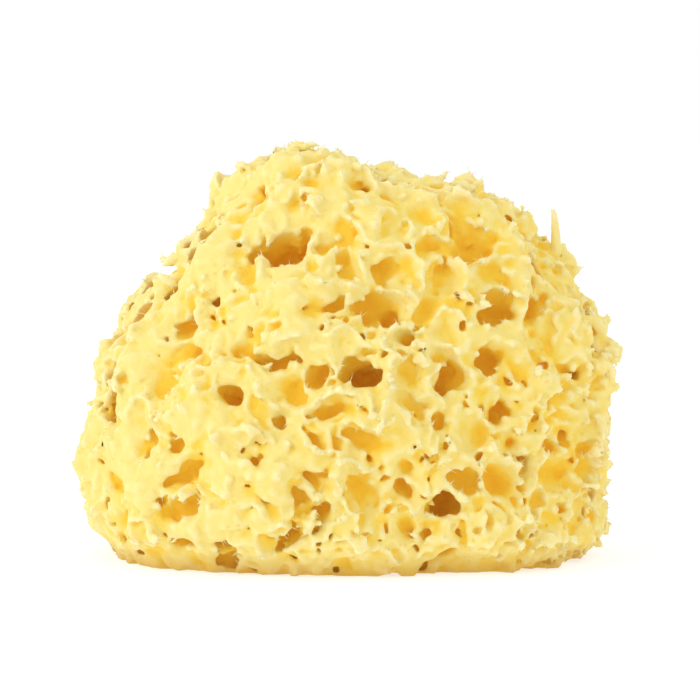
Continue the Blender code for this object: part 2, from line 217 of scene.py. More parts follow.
# Light doesn't reach the floor of a deep well, and the real fibre lets it
# through. So the wells seen from the front have this share of their depth here.
LIT_SHARE = 0.68
FRONT_PITS = (
    # The crown and the left shoulder.
    (-17.0, 80.5, 10.5, 8.0, 0, 15.0),
    (-13.0, 83.0, 4.5, 6.5, 0, 14.0),
    (-24.5, 79.0, 3.6, 5.5, 10, 10.0),
    (-3.5, 82.0, 10.0, 3.4, -5, 6.0),
    (-25.0, 93.0, 5.5, 4.5, 0, 3.5),
    (-32.0, 92.0, 4.5, 4.5, 0, 3.5),
    (-0.5, 76.0, 4.0, 6.5, 5, 4.5),
    (-35.0, 65.5, 3.6, 5.5, -20, 6.0),
    (-4.0, 66.5, 5.0, 3.6, 0, 5.5),
    (-42.5, 59.5, 9.0, 5.0, 0, 5.0),
    (-43.0, 53.5, 8.5, 3.6, 0, 4.5),
    (-28.0, 54.0, 5.0, 4.0, 0, 4.5),
    # The crown and the right shoulder.
    (7.5, 65.5, 12.0, 9.0, 0, 8.0),
    (12.0, 63.5, 4.0, 4.5, 0, 17.0),
    (16.5, 58.0, 4.0, 5.0, 15, 13.0),
    (23.5, 70.0, 14.5, 5.5, 52, 6.5),
    (39.0, 64.0, 9.5, 9.0, 0, 12.0),
    (34.0, 84.0, 10.5, 13.0, 10, 7.0),
    (29.5, 88.0, 3.4, 5.0, 0, 11.0),
    (18.0, 91.5, 6.5, 8.5, 25, 6.0),
    (23.5, 81.5, 4.5, 3.2, 0, 6.0),
    (13.0, 85.5, 5.5, 4.0, 0, 5.0),
    (11.0, 74.0, 8.5, 6.5, -30, 6.5),
    (42.0, 89.5, 4.0, 4.5, 0, 5.0),
    (50.0, 81.5, 4.5, 5.5, 0, 5.5),
    (39.5, 72.0, 7.5, 6.5, 0, 6.0),
    (50.5, 66.5, 13.0, 6.5, 50, 7.0),
    (54.0, 58.5, 7.5, 8.5, 0, 6.0),
    (26.5, 58.0, 5.0, 4.0, 0, 3.5),
    # The left flank.
    (-29.5, 42.0, 8.5, 4.0, -42, 12.0),
    (-8.0, 47.0, 6.0, 5.5, 0, 8.0),
    (-20.0, 50.5, 12.0, 3.4, -8, 4.5),
    (-48.5, 45.0, 5.5, 6.5, 0, 5.5),
    (-47.0, 29.5, 5.0, 4.5, 15, 6.0),
    (-52.5, 29.5, 3.4, 7.5, 0, 3.5),
    (-44.0, 20.0, 11.5, 5.0, 20, 5.5),
    (-13.0, 41.5, 5.5, 6.0, 0, 3.5),
    (-17.0, 34.5, 4.5, 3.4, 40, 5.0),
    (-44.5, 11.5, 9.5, 5.5, 0, 6.0),
    (-59.5, 7.5, 4.0, 7.0, -10, 3.5),
    (-61.5, 19.0, 4.5, 4.0, -35, 3.0),
    (-43.0, 1.0, 6.0, 5.0, 0, 7.0),
    (-32.0, 0.0, 6.5, 7.0, 10, 12.0),
    # The middle and the right flank.
    (3.0, 48.0, 9.5, 7.5, 0, 20.0),
    (-4.0, 37.5, 7.5, 4.0, 0, 7.0),
    (-8.0, 19.0, 3.6, 4.0, 0, 6.0),
    (-7.5, 10.5, 4.0, 5.5, 10, 10.0),
    (-13.0, 12.5, 4.5, 4.5, 0, 5.5),
    (-14.5, 2.5, 5.0, 7.0, -30, 9.0),
    (5.0, 14.0, 5.0, 9.0, 33, 6.0),
    (27.5, 45.5, 5.5, 8.5, -8, 14.0),
    (25.5, 51.0, 5.0, 4.0, 0, 6.0),
    (38.0, 50.5, 8.0, 8.0, 0, 11.0),
    (40.0, 36.5, 4.0, 4.5, 0, 11.0),
    (43.0, 39.0, 4.0, 4.0, 0, 10.0),
    (34.0, 31.0, 5.0, 7.0, 15, 6.0),
    (5.0, 29.0, 8.5, 3.6, 0, 4.5),
    (18.0, 39.0, 6.5, 3.4, -40, 5.0),
    (17.0, 46.0, 4.5, 5.5, 0, 3.5),
    (25.0, 33.5, 4.0, 4.0, 0, 5.0),
    (56.0, 27.5, 5.0, 4.0, 0, 9.0),
    (45.0, 29.0, 4.5, 3.4, 0, 5.0),
    (48.5, 24.0, 5.0, 3.6, 0, 9.0),
    (57.0, 21.0, 8.0, 8.5, 0, 6.0),
    (16.5, 21.0, 4.5, 3.6, 0, 5.0),
    (15.5, 15.5, 3.6, 4.5, -20, 9.0),
    (32.0, 17.5, 7.5, 6.0, 0, 9.0),
    (41.5, 18.0, 6.0, 7.5, 15, 9.0),
    (25.0, 10.5, 8.0, 7.5, 0, 18.0),
    (53.0, 13.5, 3.6, 4.0, 0, 8.0),
    (62.5, 10.5, 7.5, 5.5, 0, 5.0),
    (17.5, 4.0, 5.0, 4.5, 0, 4.5),
    (26.5, -2.0, 4.5, 4.0, 0, 7.0),
)


def seen_from_eye(across, up):
    """The point of the dome that shows from EYE at (across, up) on Y = 0."""
    target = np.array([across, 0.0, up])
    sight = (target - EYE) / np.linalg.norm(target - EYE)
    line = EYE + sight * SIGHT_DISTANCES[:, None]
    inside = np.nonzero(body_at(line) < 0)[0]
    return line[inside[0]] if len(inside) else line[np.argmin(body_at(line))]


def pits_seen(rows):
    """Each row as a pit: its mouth, half width, half height, lean and depth."""
    return [
        (seen_from_eye(across, up), width / 2, height / 2, lean, depth * LIT_SHARE)
        for across, up, width, height, lean, depth in rows
    ]


pits = pits_seen(FRONT_PITS)
told(f"{len(pits)} pits on the front")

# %% [markdown]
# The rest of the dome gets pits along a golden spiral. The spiral spreads them
# evenly, a little shaking hides its order, and a pit that would meet another is
# left out. Pits scattered at random would leave bare patches. A few more open in
# the cut underneath, where the knife went through canals.

# %% The pits all round and underneath
CORE = np.array([0.0, 0.0, 36.0])
LONGEST_RAY = 130.0
BASE_SPARE = 1.0
ROUND_PITS = 300
ROUND_SPAN = 1.45
ROUND_SHAKE = 0.05
ROUND_RADIUS = (2.7, 5.4)
ROUND_NARROWER = (0.65, 1.0)
ROUND_DEPTH = (1.1, 3.0)
SEEN_FACE = 0.35
BASE_PITS = 45
BASE_SPREAD = (56.0, 44.0)
BASE_INSIDE = 0.88
BASE_RADIUS = (2.6, 4.2)
BASE_NARROWER = (0.7, 1.0)
BASE_DEPTH = (1.2, 2.4)
BASE_KEPT_CLEAR = 6.0
WALL_BETWEEN = 0.9


def last_inside(ways):
    """Where rays from CORE leave the dome, found by halving 30 times."""
    near, far = np.zeros(len(ways)), np.full(len(ways), LONGEST_RAY)
    for _ in range(30):
        middle = (near + far) / 2
        places = CORE + ways * middle[:, None]
        inside = (body_at(places) < 0) & (places[:, 2] > -BASE_SPARE)
        near, far = np.where(inside, middle, near), np.where(inside, far, middle)
    return CORE + ways * near[:, None]


def far_enough(mouth, radius, others):
    """Whether a new mouth leaves a wall between itself and every other pit."""
    centres = np.array([pit[0] for pit in others])
    radii = np.array([(pit[1] + pit[2]) / 2 for pit in others])
    return (np.linalg.norm(centres - mouth, axis=1) - radii - radius).min() > WALL_BETWEEN


def faces_eye(mouth):
    """Whether the dome turns towards EYE here, where the front pits are."""
    sight = (EYE - mouth) / np.linalg.norm(EYE - mouth)
    return outward(mouth) @ sight > SEEN_FACE


def on_spiral(count, span, shake, rng):
    """Places on the dome along a golden spiral of directions: z falls from 1 to 1
    less span in even steps, each turn is pi times 3 less the root of 5, and each
    direction is shaken a little."""
    order = np.arange(count)
    rise = 1.0 - span * (order + 0.5) / count
    ring = np.sqrt(1 - rise**2)
    angle = order * math.pi * (3 - math.sqrt(5))
    steps = np.column_stack([ring * np.cos(angle), ring * np.sin(angle), rise])
    return last_inside(steps + rng.normal(0.0, shake, steps.shape))


def round_pits(pits, rng):
    """Pits along a golden spiral over the dome, wherever there is room."""
    for mouth in on_spiral(ROUND_PITS, ROUND_SPAN, ROUND_SHAKE, rng):
        first = rng.uniform(*ROUND_RADIUS)
        second = first * rng.uniform(*ROUND_NARROWER)
        lean = rng.uniform(0.0, 180.0)
        depth = first * rng.uniform(*ROUND_DEPTH)
        free = mouth[2] > -BASE_SPARE and not faces_eye(mouth)
        if free and far_enough(mouth, first, pits):
            pits.append((mouth, first, second, lean, depth))


def base_pits(pits, rng):
    """Pits that open in the flat cut, clear of the middle of the base."""
    for _ in range(BASE_PITS):
        angle = rng.uniform(0.0, 2 * math.pi)
        share = BASE_INSIDE * math.sqrt(rng.uniform(0.0, 1.0))
        across = BASE_SPREAD[0] * share * math.cos(angle)
        mouth = np.array([across, BASE_SPREAD[1] * share * math.sin(angle), 0.0])
        first = rng.uniform(*BASE_RADIUS)
        second = first * rng.uniform(*BASE_NARROWER)
        depth = first * rng.uniform(*BASE_DEPTH)
        clear = np.linalg.norm(mouth) - first > BASE_KEPT_CLEAR
        if clear and far_enough(mouth, first, pits):
            pits.append((mouth, first, second, math.degrees(angle), depth))


placing = random_for("pits")
round_pits(pits, placing)
base_pits(pits, placing)
told(f"{len(pits)} pits in all")

# %% [markdown]
# Between the pits of the solid there are smaller ones, 1 to 7 mm wide. They are
# what makes the skin look grown. Those that show on the front are listed one by
# one, and the gaps all round are filled with a finer golden spiral.

# %% Small pits
SMALL_FRONT_PITS = (
    (-15.3, 77.7, 6.8, 4.7, 0, 12.0),
    (-32.5, 61.9, 2.6, 1.6, 0, 2.0),
    (-23.1, 69.2, 3.1, 2.1, 0, 4.0),
    (-14.8, 66.8, 3.1, 3.1, 0, 3.0),
    (-4.4, 60.3, 2.1, 3.1, 0, 5.0),
    (-14.6, 60.0, 2.6, 2.6, 0, 1.5),
    (-29.4, 70.5, 1.8, 1.8, 0, 4.0),
    (6.0, 64.0, 2.0, 2.0, 0, 6.0),
    (18.7, 61.9, 2.6, 2.3, 0, 6.0),
    (30.7, 62.4, 2.6, 3.4, 0, 6.0),
    (31.5, 78.0, 3.5, 4.0, 0, 4.0),
    (17.2, 80.6, 2.3, 2.9, 0, 5.0),
    (9.9, 74.9, 2.6, 2.1, 0, 6.0),
    (45.2, 82.7, 2.9, 3.9, 0, 2.5),
    (35.4, 94.4, 3.4, 2.1, 0, 3.0),
    (63.4, 62.9, 3.1, 3.1, 0, 2.0),
    (28.0, 54.9, 3.9, 3.4, 0, 2.5),
    (8.1, 47.6, 4.2, 3.1, 0, 12.0),
    (-53.3, 49.4, 2.6, 1.8, 0, 3.0),
    (-21.8, 40.6, 2.6, 2.6, 0, 2.0),
    (-9.6, 29.1, 3.1, 3.1, 0, 4.5),
    (-3.1, 27.8, 3.1, 3.1, 0, 6.0),
    (-22.4, 31.5, 2.6, 2.6, 0, 3.0),
    (-29.6, 28.6, 1.3, 1.3, 0, 3.0),
    (-22.4, 25.7, 2.0, 1.4, 0, 3.0),
    (-0.5, 22.9, 1.6, 1.8, 0, 3.0),
    (-33.3, 19.2, 2.0, 1.2, 0, 3.0),
    (-32.8, 16.1, 2.0, 1.2, 0, 3.0),
    (-26.3, 17.2, 2.6, 1.8, 0, 5.0),
    (-41.3, 16.6, 3.1, 1.2, 0, 3.0),
    (-10.4, 13.5, 1.4, 1.4, 0, 4.0),
    (-24.4, 4.7, 2.9, 2.6, 0, 6.0),
    (-50.7, 14.0, 3.9, 2.6, 0, 3.0),
    (-55.1, 9.9, 2.0, 1.4, 0, 3.0),
    (-63.2, 13.5, 3.0, 3.0, 0, 2.0),
    (-32.8, 9.4, 2.0, 1.6, 0, 5.0),
    (1.0, 6.2, 2.6, 3.1, 0, 6.0),
    (-1.8, 9.4, 2.0, 1.2, 0, 5.0),
    (16.4, 28.9, 2.6, 2.6, 0, 6.0),
    (13.5, 34.3, 1.6, 1.6, 0, 5.0),
    (17.4, 34.0, 2.6, 2.0, 0, 4.0),
    (23.4, 34.3, 1.6, 1.6, 0, 5.0),
    (29.6, 35.9, 2.6, 1.6, 0, 3.0),
    (51.0, 32.5, 2.9, 2.9, 0, 3.0),
    (58.5, 31.5, 2.9, 4.4, 0, 3.0),
    (23.1, 18.2, 3.9, 1.6, 0, 3.0),
    (21.6, 25.5, 2.6, 3.1, 0, 3.0),
    (35.9, 10.7, 2.0, 1.6, 0, 3.0),
    (41.0, 10.7, 1.5, 1.5, 0, 3.0),
    (10.1, 2.3, 1.8, 1.4, 0, 4.0),
    (8.8, 22.0, 1.3, 1.3, 0, 3.0),
    (37.4, 42.0, 1.8, 1.8, 0, 3.0),
    (33.0, 41.6, 1.6, 1.6, 0, 3.0),
    (32.5, 39.5, 1.4, 1.4, 0, 3.0),
    (56.0, 42.4, 1.6, 1.6, 0, 3.0),
    # Along the lower edge.
    (-53.0, -1.0, 4.0, 4.0, 0, 3.0),
    (-44.0, -3.0, 4.0, 4.5, 0, 4.0),
    (-32.0, -3.5, 5.0, 6.0, 0, 6.0),
    (-24.0, -4.5, 4.0, 3.0, 0, 3.0),
    (-15.0, -3.0, 4.0, 5.0, 20, 5.0),
    (-3.0, -5.5, 5.0, 3.0, 0, 3.0),
    (9.0, -5.5, 4.0, 3.5, 0, 3.0),
    (20.0, -5.0, 4.5, 3.5, 0, 4.0),
    (37.0, -4.5, 4.0, 3.5, 0, 4.0),
    (48.0, -2.5, 4.5, 3.5, 0, 4.0),
)
SMALL_PITS = 2600
SMALL_SPAN = 1.5
SMALL_SHAKE = 0.035
SMALL_RADIUS = (0.8, 1.9)
SMALL_NARROWER = (0.6, 1.0)
SMALL_DEPTH = (1.2, 3.0)
SMALL_WALL = 0.35
SEEN_SHARE = 0.75
SEEN_LARGEST = 1.6


def small_pits(large, rng):
    """Small pits on a finer spiral, each kept if it touches no other pit."""
    found = pits_seen(SMALL_FRONT_PITS)
    mouths = on_spiral(SMALL_PITS, SMALL_SPAN, SMALL_SHAKE, rng)
    firsts = rng.uniform(*SMALL_RADIUS, SMALL_PITS)
    seconds = firsts * rng.uniform(*SMALL_NARROWER, SMALL_PITS)
    leans = rng.uniform(0.0, 180.0, SMALL_PITS)
    depths = firsts * rng.uniform(*SMALL_DEPTH, SMALL_PITS)
    seen = ((EYE - mouths) * outward(mouths)).sum(axis=1) > SEEN_FACE * EYE_AWAY
    left_out = seen & ((rng.uniform(size=SMALL_PITS) > SEEN_SHARE) | (firsts > SEEN_LARGEST))
    centres = np.array([pit[0] for pit in large + found] + list(mouths))
    radii = np.array([(pit[1] + pit[2]) / 2 for pit in large + found] + list(firsts))
    taken = len(large) + len(found)
    kept = np.arange(len(centres)) < taken
    for i in range(SMALL_PITS):
        n = taken + i
        gaps = np.linalg.norm(centres[kept] - centres[n], axis=1) - radii[kept] - radii[n]
        if gaps.min() > SMALL_WALL and centres[n, 2] > 0 and not left_out[i]:
            kept[n] = True
            found.append((mouths[i], firsts[i], seconds[i], leans[i], depths[i]))
    return found


small = small_pits(pits, placing)
told(f"{len(small)} small pits")

# %% [markdown]
# The space round the sponge is cut into a lattice of half-millimetre steps, and
# every function is worked out on it as one array. Noise comes from random
# numbers on a coarser lattice, carried to the fine one by cubic B-spline
# weights, one axis after the other, so that it has one size of ripple only.

# %% The lattice
STEP = 0.47
MARGIN = 7.0
BELOW_CUT = 2.0
corner = low - MARGIN
corner[2] = -BELOW_CUT
spans = high + MARGIN - corner
counts = np.ceil(spans / STEP).astype(int) + 1
AXES = [corner[i] + STEP * np.arange(counts[i]) for i in range(3)]
X = AXES[0][:, None, None].astype(np.float32)
Y = AXES[1][None, :, None].astype(np.float32)
Z = AXES[2][None, None, :].astype(np.float32)
told(f"lattice of {counts}, {np.prod(counts) / 1e6:.1f} million points")


def carried(values, axis, spacing):
    """Values on a coarse lattice carried to the fine one along an axis: each fine
    point takes four coarse ones, with cubic B-spline weights."""
    t = ((AXES[axis] - AXES[axis][0]) / spacing).astype(np.float32)
    cell = np.floor(t).astype(int)
    f = t - cell
    weights = (
        (1 - f) ** 3 / 6,
        (3 * f**3 - 6 * f**2 + 4) / 6,
        (-3 * f**3 + 3 * f**2 + 3 * f + 1) / 6,
        f**3 / 6,
    )
    shape = [-1 if i == axis else 1 for i in range(3)]
    return sum(w.reshape(shape) * values.take(cell + i, axis) for i, w in enumerate(weights))


def noise(spacing, rng):
    """Smooth noise of unit spread, with ripples about two spacings long (mm)."""
    sides = [int((places[-1] - places[0]) / spacing) + 5 for places in AXES]
    values = rng.standard_normal(sides, np.float32)
    for axis in (2, 1, 0):
        values = carried(values, axis, spacing)
    return values / values.std()


# %% [markdown]
# The dome is worked out once, on the whole lattice. All that follows is added to
# it or taken from it.

# %% The dome on the lattice
dome = body(X, Y, Z).astype(np.float32)
told("the dome is on the lattice")

# %% [markdown]
# Pits in a grown thing are never round. Each point of space drifts a little
# before the pits are laid on it, slowly over several millimetres and quickly
# over one or two, so that every mouth gets its own crooked outline. Above the
# skin the drift grows with height, which makes crests lean over the pits.

# %% The drift
# Each drift's strength in mm, and the size of its ripples in mm. The lean's
# strength is for each mm of height.
DRIFT_SLOW = (0.55, 3.4)
DRIFT_QUICK = (0.30, 1.3)
LEAN_OVER = (0.28, 4.5)
LEAN_FROM = -1.0
LEAN_MOST = 6.0
# The fixed waves of this height, in mm, are the ones that the solid's pits have.
WANDER = 0.7


def ripples(reach, size, rng):
    """Noise of this spread, both in mm."""
    return reach * noise(size, rng)


drifting = random_for("drift")
height = np.clip(dome - LEAN_FROM, 0, LEAN_MOST)
drift = []
for axis in range(3):
    slow = ripples(*DRIFT_SLOW, drifting)
    quick = ripples(*DRIFT_QUICK, drifting)
    lean = LEAN_OVER[0] * height * noise(LEAN_OVER[1], drifting)
    drift.append(slow + quick + lean)
    del slow, quick, lean
WX = X - drift[0] - WANDER * (np.sin(Y / 1.9 + 0.3) + np.sin(Z / 2.7 + 1.1))
WY = Y - drift[1] - WANDER * (np.sin(Z / 2.1 + 2.0) + np.sin(X / 2.9 + 0.5))
WZ = Z - drift[2] - WANDER * (np.sin(X / 2.0 + 1.7) + np.sin(Y / 2.6 + 2.6))
WX, WY, WZ = (w.astype(np.float32) for w in (WX, WY, WZ))
del drift, height
told("space drifts")

# %% [markdown]
# Each pit is an egg-shaped well, widest a third of the way down. On the lattice
# it leaves two things: how deep a point is inside the nearest well, and how far
# it is, along the skin, from the nearest three mouths. Where the first two are
# equally far there is a crest, and where all three are, a point stands up.

# %% Laying the pits
EGG_CENTRE = 0.34
EGG_REACH = 1.0 - EGG_CENTRE
EGG_WIDER = 1.0 / math.sqrt(1.0 - (EGG_CENTRE / EGG_REACH) ** 2)
WELL_SUNK = 2.2
WELL_SPARE = 1.5
FAR = 7.0
SKIN_BAND = 9.0
ON_DOME = 3.0
NEARLY_UPRIGHT = 0.2

well = np.full(dome.shape, FAR, np.float32)
near = [np.full(dome.shape, FAR, np.float32) for _ in range(3)]


def frame_of(mouth, lean):
    """A pit's own directions: across, along and inward."""
    on_base = mouth[2] <= 0.0 and abs(body_at(mouth)) > ON_DOME
    inward = np.array([0.0, 0.0, 1.0]) if on_base else -outward(mouth)
    sideways = np.cross(inward, (0.0, 0.0, 1.0))
    if np.linalg.norm(sideways) < NEARLY_UPRIGHT:
        sideways = np.array([1.0, 0.0, 0.0])
    sideways /= np.linalg.norm(sideways)
    up = np.cross(sideways, inward)
    turn = math.radians(lean)
    across = math.cos(turn) * sideways + math.sin(turn) * up
    return across, np.cross(across, inward), inward


def box_round(place, half):
    """The slices of the lattice within half of a place, along each axis."""
    first = np.floor((place - half - corner) / STEP).astype(int)
    last = np.ceil((place + half - corner) / STEP).astype(int) + 1
    return tuple(slice(max(a, 0), min(b, n)) for a, b, n in zip(first, last, counts))


def lay(pit, mouths_too):
    """Adds one well, and if asked its mouth, to the lattice round it."""
    mouth, first, second, lean, depth = pit
    across, along, inward = frame_of(mouth, lean)
    wide = max(first, second) * EGG_WIDER
    half = max(wide + (FAR if mouths_too else WELL_SPARE), depth + WELL_SUNK + WELL_SPARE)
    box = box_round(mouth, half)
    dx, dy, dz = WX[box] - mouth[0], WY[box] - mouth[1], WZ[box] - mouth[2]
    u = dx * across[0] + dy * across[1] + dz * across[2]
    v = dx * along[0] + dy * along[1] + dz * along[2]
    t = dx * inward[0] + dy * inward[1] + dz * inward[2]
    flat = (u / first) ** 2 + (v / second) ** 2
    down = (t - WELL_SUNK) / depth - EGG_CENTRE
    egg = np.sqrt(flat / EGG_WIDER**2 + (down / EGG_REACH) ** 2)
    thinnest = min(first, second, depth * EGG_REACH)
    well[box] = np.minimum(well[box], (egg - 1) * thinnest)
    if not mouths_too:
        return
    away = (np.sqrt(flat) - 1) * (first + second) / 2
    away = np.minimum(away + np.maximum(np.abs(t) - SKIN_BAND, 0), FAR).astype(np.float32)
    one, two, three = (n[box] for n in near)
    second_one = np.maximum(one, away)
    third_one = np.maximum(two, second_one)
    near[2][box] = np.minimum(three, third_one)
    near[1][box] = np.minimum(two, second_one)
    near[0][box] = np.minimum(one, away)


for pit in pits:
    lay(pit, mouths_too=True)
told("pits laid")

# %% [markdown]
# The skin itself is a comb of hollow cells with sharp walls between them, at two
# sizes, about 3 and 6 mm. Only some of the cells are deep. For each size the
# lattice keeps how far a point is from the wall between its two nearest cells,
# and that gives the hollow: none at the wall, and the full depth past it.

# %% The comb
COMB_SPAN = 1.62
COMB_SHAKE = 0.03
# The cells, how far one reaches, where its wall begins and ends, the share of
# the cells that are deep, and their depths, all in mm.
FINE_COMB = (5200, 3.6, (0.1, 0.75), 0.62, (0.7, 2.6))
WIDE_COMB = (1200, 7.0, (0.2, 1.3), 0.6, (0.8, 3.2))


def comb_of(cells, far, wall, deep_share, depths, rng):
    """The hollows of one comb, in mm, and how far each point is from a wall. The
    hollow is the depth of the nearest cell, times a smooth step that goes from 0
    where the wall begins to 1 where it ends."""
    places = on_spiral(cells, COMB_SPAN, COMB_SHAKE, rng)
    sinks = np.where(rng.uniform(size=cells) < deep_share, rng.uniform(*depths, cells), 0.0)
    nearest = np.full(dome.shape, far, np.float32)
    second = nearest.copy()
    sink = np.zeros(dome.shape, np.float32)
    for place, depth in zip(places, sinks):
        box = box_round(place, far)
        away = (WX[box] - place[0]) ** 2 + (WY[box] - place[1]) ** 2 + (WZ[box] - place[2]) ** 2
        away = np.minimum(np.sqrt(away), far)
        sink[box] = np.where(away < nearest[box], depth, sink[box])
        second[box] = np.minimum(second[box], np.maximum(nearest[box], away))
        nearest[box] = np.minimum(nearest[box], away)
    border = (second - nearest) / 2
    t = np.clip((border - wall[0]) / (wall[1] - wall[0]), 0, 1)
    return sink * t * t * (3 - 2 * t), border


combing = random_for("comb")
fine_hollow, fine_border = comb_of(*FINE_COMB, combing)
wide_hollow = comb_of(*WIDE_COMB, combing)[0]
told(f"two combs laid, of {FINE_COMB[0]} and {WIDE_COMB[0]} cells")

# %% [markdown]
# The skin rises away from the mouths and has a thin crest along every line
# between two of them. The crest's height comes and goes, which leaves the torn,
# toothed edge that a real sponge has. The rims have a fringe of teeth of their
# own. Slow noise adds shallow valleys. The right side is the more rugged one.

# %% The skin
RIDGE_HEIGHT = 4.8
RIDGE_LEVEL = 0.45
RIDGE_RUN = 3.0
SMOOTH_SIDE = 0.55
RUGGED_FROM = -40.0
RUGGED_OVER = 50.0
CREST_HEIGHT = 1.7
CREST_WIDTH = 1.4
CREST_INTO_PIT = 1.0
POINT_HEIGHT = 1.9
POINT_WIDTH = 1.6
FRINGE_HEIGHT = 2.2
FRINGE_WIDTH = 0.9
HOLLOW_MEAN = 1.0
WALL_HEIGHT = 0.8
WALL_WIDTH = 0.5
# How torn each of them is: the mean share of its height, the most, and then for
# each noise in it the strength and the size of its ripples in mm.
CREST_TORN = (0.45, 1.6, (0.5, 1.5), (0.35, 4.0))
POINT_TORN = (0.2, 1.6, (0.8, 3.0))
FRINGE_TORN = (-0.1, 1.5, (1.0, 1.3))
FRINGE_PATCHY = (0.3, 1.4, (1.0, 5.0))
WALL_TORN = (0.6, 1.7, (0.7, 1.5))
VALLEYS = (0.6, 5.0)
FOOT_TUCK = 0.7
FOOT_TUCK_MEAN = 0.8
FOOT_TUCK_SIZE = 4.0
FOOT_RAGGED = (1.1, 2.0)
FOOT_HEIGHT = 3.0
SUNK_LEFT = 1.5
SUNK_RIGHT = 3.3
SAG = 3.0
SAG_AT = 19.0
SAG_WIDTH = 13.0
SAG_FROM = 88.0
SAG_OVER = 10.0


def torn(mean, most, *noises, rng):
    """Uneven shares: the mean plus each noise times its strength, from 0 to most."""
    total = mean
    for strength, size in noises:
        total = total + strength * noise(size, rng)
    return np.clip(total, 0, most)


ragged = random_for("skin")
to_right = np.clip((X - RUGGED_FROM) / RUGGED_OVER, 0, 1)
rugged = SMOOTH_SIDE + (1 - SMOOTH_SIDE) * to_right
sunk = SUNK_LEFT + (SUNK_RIGHT - SUNK_LEFT) * to_right
sag = SAG * np.exp(-(((X - SAG_AT) / SAG_WIDTH) ** 2)) * np.clip((Z - SAG_FROM) / SAG_OVER, 0, 1)
sunk = sunk + sag
rise = RIDGE_HEIGHT * (RIDGE_LEVEL - np.exp(-np.maximum(near[0], 0) / RIDGE_RUN))
crest = CREST_HEIGHT * np.exp(-(near[1] - near[0]) / CREST_WIDTH) * torn(*CREST_TORN, rng=ragged)
told("crests between the pits")
point = POINT_HEIGHT * np.exp(-(near[2] - near[0]) / POINT_WIDTH) * torn(*POINT_TORN, rng=ragged)
hairs = torn(*FRINGE_TORN, rng=ragged) * torn(*FRINGE_PATCHY, rng=ragged)
fringe = FRINGE_HEIGHT * np.exp(-((near[0] / FRINGE_WIDTH) ** 2)) * hairs
hollow = fine_hollow + wide_hollow - HOLLOW_MEAN
wall = WALL_HEIGHT * np.exp(-fine_border / WALL_WIDTH) * torn(*WALL_TORN, rng=ragged)
del hairs, fine_hollow, wide_hollow, fine_border
foot = FOOT_TUCK * (FOOT_TUCK_MEAN + noise(FOOT_TUCK_SIZE, ragged)) + ripples(*FOOT_RAGGED, ragged)
foot = foot * np.exp(-np.maximum(Z, 0) / FOOT_HEIGHT)
hull = (dome + sunk - rugged * rise + foot).astype(np.float32)
between_pits = near[0] > -CREST_INTO_PIT
skin = hull - rugged * ((crest + point) * between_pits + fringe + wall - hollow)
skin = (skin - ripples(*VALLEYS, ragged)).astype(np.float32)
del rise, crest, point, fringe, hollow, wall, near, foot, between_pits
told("the skin is on the lattice")

# %% [markdown]
# Small pits are laid like the large ones, but they have no crests round them.
# Pores are round bores, 1 to 2 mm wide, at random places of the skin. They are
# real holes and not marks in a material, so that they take light and shade from
# every side. On the left shoulder the skin is torn through: a slit along the
# sight line, which shows as a notch.

# %% Small pits and pores
PORES = 1500
PORE_RADIUS = (0.6, 0.95)
PORES_ABOVE = 1.0
NOTCH_AT = (-47.2, 74.4)
NOTCH_HALF = (4.6, 1.7)
NOTCH_LONG = 24.0

for pit in small:
    lay(pit, mouths_too=False)
told("small pits laid")
del WX, WY, WZ

boring = random_for("pores")


def skin_places(count, rng, where):
    """Lattice points picked at random among those where the mask is true."""
    found = np.flatnonzero(where)
    picked = rng.choice(found, count, replace=False)
    return np.column_stack(np.unravel_index(picked, where.shape)) * STEP + corner


def bore(place, radius):
    """Adds one round pore to the wells."""
    box = box_round(place, radius + 1.0)
    dx, dy, dz = (AXES[i][box[i]] - place[i] for i in range(3))
    distance = np.sqrt(dx[:, None, None] ** 2 + dy[None, :, None] ** 2 + dz[None, None, :] ** 2)
    well[box] = np.minimum(well[box], (distance - radius).astype(np.float32))


on_skin = (np.abs(np.maximum(skin, -well)) < STEP / 2) & (Z > PORES_ABOVE)
for place in skin_places(PORES, boring, on_skin):
    bore(place, boring.uniform(*PORE_RADIUS))
del on_skin
fall = (EYE[2] - NOTCH_AT[1]) / EYE_AWAY
slit_across = (X - NOTCH_AT[0] * (1 + Y / EYE_AWAY)) / NOTCH_HALF[0]
slit_up = (Z - NOTCH_AT[1] + fall * Y) / NOTCH_HALF[1]
slit = (np.sqrt(slit_across**2 + slit_up**2 + (Y / NOTCH_LONG) ** 4) - 1) * NOTCH_HALF[1]
well = np.minimum(well, slit).astype(np.float32)
del slit, slit_across, slit_up
told(f"{PORES} pores and the notch")

# %% [markdown]
# The form is the skin with the wells taken out of it, and with nothing under the
# flat cut. Where skin meets well the rim is rounded off over a third of a
# millimetre, because spongin has no hard edges.

# %% The whole form
ROUNDING = 0.35


def smooth_max(a, b, k):
    """The larger of two functions, rounded off where they are within k."""
    h = np.clip(0.5 + 0.5 * (a - b) / k, 0, 1)
    return b + (a - b) * h + k * h * (1 - h)


def eased(values):
    """Each value becomes two thirds of itself and a sixth of each neighbour, along
    each axis in turn, which takes away what the lattice is too coarse for."""
    for axis in range(3):
        values = np.moveaxis(values, axis, 0)
        inner = values[1:-1] / 1.5 + (values[:-2] + values[2:]) / 6
        values = np.moveaxis(np.concatenate([values[:1], inner, values[-1:]]), 0, axis)
    return values


form = eased(smooth_max(skin, -well, ROUNDING)).astype(np.float32)
told("the form is whole, apart from the teeth")


